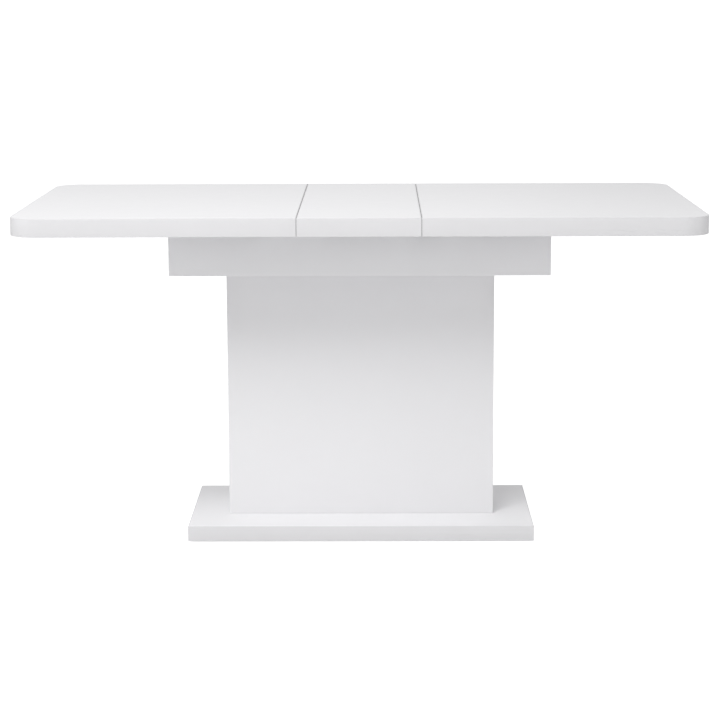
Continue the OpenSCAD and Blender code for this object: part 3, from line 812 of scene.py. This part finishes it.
@dataclass
class Pedestal:
    """The boxed pedestal and the banded base plate under it."""

    workshop: Workshop
    panel_radius: float = 0.8 * MM
    base_radius: float = 1.2 * MM
    segments: int = 3

    def panels(self) -> None:
        """The four outer panels, with slightly rounded edges."""
        for node in ("pedestal_front_panel", "pedestal_back_panel"):
            low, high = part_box(node)
            piece = Bench.block(node.replace("_panel", "_face"), low, high)
            Bench.soften(piece, self.panel_radius, self.segments)
            self.workshop.finish(piece, Slot.LAMINATE, "root", node)
        self.workshop.end_panels("pedestal_side_panels", "pedestal_front_panel", "pedestal_{}_side")

    def base(self) -> None:
        """The base plate's edge band and its laminated board."""
        low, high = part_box("base_edge_band")
        board_low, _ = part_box("base_plate")
        ring = Bench.block("base_banded_edge", low, high)
        Bench.hollow(ring, board_low.x - low.x)
        Bench.round_edges(ring, outer_rim((low + high) / 2), self.base_radius, self.segments)
        self.workshop.finish(ring, Slot.EDGE_BAND, "root", "base_edge_band")
        board = Bench.copy_node("base_plate", "base_laminated_plate")
        Bench.soften(board, JOINT_ARRIS, 1)
        self.workshop.finish(board, Slot.LAMINATE, "root", "base_plate")

    def build(self) -> None:
        """Builds the pedestal and the base."""
        self.panels()
        self.base()


@dataclass
class Apron:
    """The shallow box under the tabletop."""

    workshop: Workshop
    edge_radius: float = 0.9 * MM
    segments: int = 3

    def build(self) -> None:
        """Builds the four panels of the apron."""
        for word in ("front", "back"):
            low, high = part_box(f"apron_{word}")
            piece = Bench.block(f"apron_{word}_board", low, high)
            Bench.soften(piece, self.edge_radius, self.segments)
            self.workshop.finish(piece, Slot.LAMINATE, "root", f"apron_{word}")
        self.workshop.end_panels("apron_end_panels", "apron_front", "apron_{}_board")


@dataclass
class SeamShadeStrips:
    """Black rubber strips on the leaf's two seam edges, as painted shade: they darken the seams, which hold
    only a gap's shadow.
    """

    workshop: Workshop
    edge_radius: float = 0.2 * MM

    def build(self) -> None:
        """Builds the two strips of painted seam shade."""
        low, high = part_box("leaf_seals")
        band_low, band_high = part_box("leaf_edge_band")
        for word, x0, x1 in (("left", low.x, band_low.x), ("right", band_high.x, high.x)):
            shade_strip = Bench.block(
                f"leaf_{word}_seal", Vector((x0, low.y, low.z)), Vector((x1, high.y, high.z))
            )
            Bench.soften(shade_strip, self.edge_radius, 2)
            # Black rubber here is painted shade: the dark strip stands in for the shadow in the seam gap.
            self.workshop.finish(shade_strip, Slot.RUBBER, "leaf", "leaf_seals")


@dataclass
class Joinery:
    """The battens, blocks, cleats and boards that hold the apron and the pedestal together."""

    workshop: Workshop
    arris: float = 0.9 * MM
    board_arris: float = 0.3 * MM

    def build(self) -> None:
        """Builds the wooden parts, their arrises taken off."""
        for node in ("mounting_battens", "corner_blocks", "bottom_cleats", "top_cleats"):
            self.workshop.soft_copy(node, Slot.BEECH, "root", self.arris)
        self.workshop.soft_copy("mounting_board", Slot.LAMINATE, "root", self.board_arris)
        self.workshop.soft_copy("pedestal_stiffener", Slot.CHIPBOARD, "root", self.board_arris)


@dataclass
class Slides:
    """The fixed C rails with their stops, and the runners that carry the half tops."""

    workshop: Workshop
    rolled_radius: float = 0.5 * MM
    stop_radius: float = 1.0 * MM
    shoe_radius: float = 0.4 * MM

    def build(self) -> None:
        """Builds both sides of the slide."""
        for word in ("front", "back"):
            self.workshop.soft_copy(f"{word}_rail", Slot.ZINC, "root", self.rolled_radius)
        self.workshop.soft_copy("rail_stops", Slot.RUBBER, "root", self.stop_radius)
        for side in Side:
            for word in ("front", "back"):
                runner = f"{side.word}_{word}_runner"
                self.workshop.soft_copy(runner, Slot.ZINC, side.body, self.rolled_radius)
            self.workshop.soft_copy(f"{side.word}_slide_shoes", Slot.NYLON, side.body, self.shoe_radius)


@dataclass
class SyncGear:
    """The pinion on its post, and the two racks that it drives in opposite directions."""

    workshop: Workshop
    tooth_radius: float = 0.2 * MM
    steel_radius: float = 0.4 * MM
    sharp: float = 40.0

    def build(self) -> None:
        """Builds the gear, the post and the racks."""
        fixed = {
            "pinion_post": Slot.ZINC,
            "pinion_retainer": Slot.ZINC,
            "rack_guides": Slot.NYLON,
        }
        self._piece("sync_pinion", Slot.NYLON, "pinion", self.tooth_radius)
        for node, slot in fixed.items():
            self._piece(node, slot, "root", self.steel_radius)
        for side in Side:
            self._piece(f"{side.word}_rack", Slot.NYLON, side.body, self.tooth_radius)
            self._piece(f"{side.word}_rack_block", Slot.ZINC, side.body, self.steel_radius)

    def _piece(self, node: str, slot: Slot, body: str, radius: float) -> None:
        """Builds one node again, leaving its tooth flanks as they are."""
        self.workshop.soft_copy(node, slot, body, radius, angle=self.sharp)


@dataclass
class Latches:
    """The turning levers, their pivot plates and the studs that they catch."""

    workshop: Workshop
    lever_radius: float = 0.5 * MM
    plate_radius: float = 0.25 * MM
    sharp: float = 40.0

    def build(self) -> None:
        """Builds the four levers, the plates and the studs."""
        for side in Side:
            for word in ("front", "back"):
                node = f"{side.word}_{word}_latch"
                self._piece(node, f"{side.word}_{word}_lever", self.lever_radius)
            self._piece(f"{side.word}_latch_plates", side.body, self.plate_radius)
        self._piece("leaf_latch_studs", "leaf", self.plate_radius)

    def _piece(self, node: str, body: str, radius: float) -> None:
        """Builds one node again in zinc-plated steel."""
        self.workshop.soft_copy(node, Slot.ZINC, body, radius, angle=self.sharp)


@dataclass
class Felts:
    """The felt glides under the base and the felt pads that the tabletop runs on."""

    workshop: Workshop
    glide_sides: int = 64
    glide_radius: float = 0.8 * MM
    pad_radius: float = 0.5 * MM

    def _glide(self, name: str, low: Vector, high: Vector) -> bpy.types.Object:
        """One round glide with soft rims, between two corners."""
        Bench.clear()
        bpy.ops.mesh.primitive_cylinder_add(
            vertices=self.glide_sides,
            radius=(high.x - low.x) / 2,
            depth=high.z - low.z,
            location=(low + high) / 2,
        )
        glide = Bench.settle(name)
        Bench.round_edges(glide, level, self.glide_radius, 3)
        return glide

    def build(self) -> None:
        """Builds the glides and the pads."""
        for count, (low, high) in enumerate(solids_of("floor_glides"), 1):
            glide = self._glide(f"floor_glide_{count}", low, high)
            self.workshop.finish(glide, Slot.FELT, "root", "floor_glides")
        pads = Bench.copy_node("support_pads", "support_pads_shaped")
        Bench.soften(pads, self.pad_radius, 2)
        self.workshop.finish(pads, Slot.FELT, "root", "support_pads")


@dataclass(frozen=True)
class Seat:
    """Where one screw sits: the middle of its head's underside, its direction and its measures."""

    point: Vector
    up: Vector
    head_radius: float
    head_height: float
    shank_radius: float
    shank_length: float

    @property
    def kind(self) -> tuple[float, ...]:
        """The measures that screws made from one pattern share."""
        measures = (self.head_radius, self.head_height, self.shank_radius, self.shank_length)
        return tuple(round(value, 5) for value in measures)


@dataclass
class Screws:
    """Cross-recessed screws: each kind is modelled once and copied to every seat."""

    workshop: Workshop
    sides: int = 28
    crown_share: float = 0.55
    recess_reach: float = 0.6
    recess_width: float = 0.24
    recess_depth: float = 0.6
    recess_taper: float = 0.55
    rim_share: float = 0.9
    turn: float = 0.73
    patterns: dict[tuple[float, ...], bpy.types.Object] = field(default_factory=dict)

    def seats(self, node: str) -> list[Seat]:
        """Reads where the screws of a CAD node sit.

        Args:
            node: The CAD node, one solid for each screw.

        Returns:
            One seat for each solid.
        """
        found = []
        for points in loose_parts(node):
            low, high = corners_of(points)
            size = high - low
            along = max(range(3), key=lambda axis: size[axis])
            middle_line = (low + high) / 2
            reach = []
            for point in points:
                sideways = point - middle_line
                sideways[along] = 0.0
                reach.append((point, sideways.length))
            head_radius = max(away for _, away in reach)
            head = [point[along] for point, away in reach if away > self.rim_share * head_radius]
            at_top = max(head) > high[along] - SAME
            shank_end = low[along] if at_top else high[along]
            seat_level = min(head) if at_top else max(head)
            shank = [away for point, away in reach if abs(point[along] - shank_end) < SAME]
            point = middle_line.copy()
            point[along] = seat_level
            up = Vector([0.0, 0.0, 0.0])
            up[along] = 1.0 if at_top else -1.0
            found.append(
                Seat(
                    point, up, head_radius, max(head) - min(head), max(shank), abs(seat_level - shank_end)
                )
            )
        return found

    def _cutter(self, radius: float, height: float, across: float) -> bpy.types.Object:
        """One bar of the cross recess, tapered towards its foot."""
        depth = self.recess_depth * height
        long, wide = 2 * self.recess_reach * radius, self.recess_width * radius
        Bench.clear()
        bpy.ops.mesh.primitive_cube_add(
            size=1.0, location=(0, 0, height), rotation=(0, 0, across), scale=(long, wide, 2 * depth)
        )
        bar = Bench.settle("recess_bar")
        with Bench.editing(bar, "FACE"):
            Bench.pick_faces(bar, lambda face: face.normal.z < -FLAT)
            bpy.ops.transform.resize(value=(self.recess_taper, self.recess_taper, 1.0))
        return bar

    def pattern(self, seat: Seat) -> bpy.types.Object:
        """Models one kind of screw, standing on its seat at the origin."""
        if seat.kind in self.patterns:
            return self.patterns[seat.kind]
        Bench.clear()
        bpy.ops.mesh.primitive_cylinder_add(
            vertices=self.sides,
            radius=seat.head_radius,
            depth=seat.head_height,
            location=(0, 0, seat.head_height / 2),
        )
        screw = Bench.settle("screw_pattern")
        crown = self.crown_share * seat.head_height
        Bench.round_edges(
            screw,
            lambda edge: level(edge) and middle(edge).z > self.rim_share * seat.head_height,
            crown,
            4,
        )
        for across in (0.0, math.pi / 2):
            bar = self._cutter(seat.head_radius, seat.head_height, across)
            Bench.take(screw)
            cut = screw.modifiers.new("recess", "BOOLEAN")
            cut.operation = "DIFFERENCE"
            cut.object = bar
            bpy.ops.object.modifier_apply(modifier=cut.name)
            bpy.data.objects.remove(bar)
        Bench.clear()
        bpy.ops.mesh.primitive_cylinder_add(
            vertices=self.sides // 2,
            radius=seat.shank_radius,
            depth=seat.shank_length,
            location=(0, 0, -seat.shank_length / 2),
        )
        shank = Bench.settle("screw_shank")
        halfway = -0.5 * seat.shank_length
        Bench.round_edges(
            shank, lambda edge: level(edge) and middle(edge).z < halfway, 0.5 * seat.shank_radius, 2
        )
        Bench.take(screw)
        shank.select_set(True)
        bpy.ops.object.join()
        self.patterns[seat.kind] = screw
        return screw

    def fit(self, node: str, body: str) -> None:
        """Fits a screw into every seat of a node, as one piece."""
        copies = []
        for count, seat in enumerate(self.seats(node)):
            pattern = self.pattern(seat)
            screw = bpy.data.objects.new(f"{node}_screw", pattern.data.copy())
            bpy.context.scene.collection.objects.link(screw)
            spin = Quaternion((0, 0, 1), self.turn * count)
            turn = seat.up.to_track_quat("Z", "Y") @ spin
            screw.data.transform(Matrix.Translation(seat.point) @ turn.to_matrix().to_4x4())
            copies.append(screw)
        Bench.take(copies[0])
        for screw in copies[1:]:
            screw.select_set(True)
        bpy.ops.object.join()
        piece = Bench.settle(f"{node}_recessed")
        self.workshop.finish(piece, Slot.ZINC, body, node)

    def build(self) -> None:
        """Builds every set of screws."""
        for node in ("frame_screws", "pedestal_top_screws"):
            self.fit(node, "root")
        for side in Side:
            self.fit(f"{side.word}_top_screws", side.body)
        for pattern in self.patterns.values():
            bpy.data.objects.remove(pattern)


class HardwareFinisher:
    """Gives every CAD node that still shows its own finish, from its slot in the record."""

    def __init__(self, finishes: Finishes) -> None:
        """Keeps the finishes."""
        self.finishes = finishes

    def build(self) -> None:
        """Dresses the nodes."""
        slots = {row["node"]: Slot(row["material_slot"]) for row in frame["record"]["subparts"]}
        for name, node in frame["nodes"].items():
            node.data.materials.clear()
            node.data.materials.append(self.finishes.materials[slots[name]])


# ------------------------------------------------------------------ studio


@dataclass(frozen=True)
class Lamp:
    """One square soft box, aimed at the middle of the table."""

    name: str
    place: tuple[float, float, float]
    size: float
    power: float

    def build(self, target: Vector) -> None:
        """Adds the light, shining at a target."""
        data = bpy.data.lights.new(self.name, "AREA")
        data.shape = "SQUARE"
        data.size = self.size
        data.energy = self.power
        lamp = bpy.data.objects.new(self.name, data)
        bpy.context.scene.collection.objects.link(lamp)
        lamp.location = self.place
        lamp.rotation_euler = (target - Vector(self.place)).to_track_quat("-Z", "Y").to_euler()


@dataclass(frozen=True)
class Studio:
    """A pale floor, soft light and the camera."""

    floor_size: float = 900.0
    floor_colour: Colour = (0.80, 0.80, 0.802)
    floor_glow: float = 0.05
    floor_lift: float = 0.62
    sky_strength: float = 0.58
    sky_seen: float = 1.0
    target: tuple[float, float, float] = (0.0, 0.0, 0.6)
    camera_at: tuple[float, float, float] = (0.0411, -5.0285, 1.2570)
    yaw: float = -0.493
    pitch: float = 9.855
    roll: float = 0.212
    lens: float = 109.6
    lamps: tuple[Lamp, ...] = (
        Lamp("high_front_box", (-0.9, -2.6, 3.5), 1.8, 87.0),
        Lamp("left_box", (-3.8, -0.8, 2.0), 2.0, 17.0),
        Lamp("right_box", (3.8, -1.0, 1.2), 1.6, 11.0),
        Lamp("back_box", (-0.5, 3.6, 2.6), 2.6, 7.0),
    )

    def floor(self) -> None:
        """The plain pale floor, seen lighter than it lights the table, and clear from below."""
        Bench.clear()
        bpy.ops.mesh.primitive_plane_add(size=self.floor_size)
        floor = bpy.context.active_object
        floor.name = "floor"
        material = bpy.data.materials.new("floor")
        material.use_nodes = True
        nodes, links = material.node_tree.nodes, material.node_tree.links
        shader = nodes["Principled BSDF"]
        shader.inputs["Base Color"].default_value = (*self.floor_colour, 1.0)
        shader.inputs["Roughness"].default_value = 0.9
        shader.inputs["Specular IOR Level"].default_value = 0.0
        shader.inputs["Emission Color"].default_value = (1.0, 1.0, 1.0, 1.0)
        path = nodes.new("ShaderNodeLightPath")
        lift = nodes.new("ShaderNodeMath")
        lift.operation = "MULTIPLY_ADD"
        lift.inputs[1].default_value = self.floor_lift
        lift.inputs[2].default_value = self.floor_glow
        links.new(path.outputs["Is Camera Ray"], lift.inputs[0])
        links.new(lift.outputs[0], shader.inputs["Emission Strength"])
        facing = nodes.new("ShaderNodeNewGeometry")
        clear = nodes.new("ShaderNodeBsdfTransparent")
        choice = nodes.new("ShaderNodeMixShader")
        links.new(facing.outputs["Backfacing"], choice.inputs["Fac"])
        links.new(shader.outputs["BSDF"], choice.inputs[1])
        links.new(clear.outputs["BSDF"], choice.inputs[2])
        links.new(choice.outputs["Shader"], nodes["Material Output"].inputs["Surface"])
        floor.data.materials.append(material)

    def sky(self) -> None:
        """Even light from all round, seen as plain white."""
        world = bpy.context.scene.world or bpy.data.worlds.new("studio")
        bpy.context.scene.world = world
        world.use_nodes = True
        nodes, links = world.node_tree.nodes, world.node_tree.links
        background = nodes["Background"]
        background.inputs["Color"].default_value = (1.0, 1.0, 1.0, 1.0)
        path = nodes.new("ShaderNodeLightPath")
        strength = nodes.new("ShaderNodeMath")
        strength.operation = "MULTIPLY_ADD"
        strength.inputs[1].default_value = self.sky_seen - self.sky_strength
        strength.inputs[2].default_value = self.sky_strength
        links.new(path.outputs["Is Camera Ray"], strength.inputs[0])
        links.new(strength.outputs[0], background.inputs["Strength"])

    def camera(self) -> None:
        """The camera, a long lens a little above table height."""
        data = bpy.data.cameras.new("camera")
        data.lens = self.lens
        data.sensor_width = 36.0
        data.clip_end = 2000.0
        camera = bpy.data.objects.new("camera", data)
        bpy.context.scene.collection.objects.link(camera)
        across, down = math.radians(self.yaw), math.radians(self.pitch)
        ahead = Vector(
            (math.sin(across) * math.cos(down), math.cos(across) * math.cos(down), -math.sin(down))
        )
        turn = ahead.to_track_quat("-Z", "Y") @ Quaternion((0, 0, 1), -math.radians(self.roll))
        camera.matrix_world = Matrix.Translation(self.camera_at) @ turn.to_matrix().to_4x4()
        bpy.context.scene.camera = camera

    def build(self) -> None:
        """Builds the studio."""
        bpy.context.scene.view_settings.view_transform = "Standard"
        self.floor()
        self.sky()
        self.camera()
        for lamp in self.lamps:
            lamp.build(Vector(self.target))


def main() -> None:
    """Builds the studio and the table."""
    logging.basicConfig(level=logging.INFO, format="%(message)s")
    Studio().build()
    finishes = Finishes()
    workshop = Workshop(finishes)
    HardwareFinisher(finishes).build()
    for side in Side:
        HalfTop(workshop, side.word, side.body, side=side).build()
    Leaf(workshop, "leaf", "leaf").build()
    Apron(workshop).build()
    Pedestal(workshop).build()
    SeamShadeStrips(workshop).build()
    Joinery(workshop).build()
    Slides(workshop).build()
    SyncGear(workshop).build()
    Latches(workshop).build()
    Felts(workshop).build()
    Screws(workshop).build()
    log.info("%d new pieces", len(workshop.made))


if __name__ == "__main__":
    main()
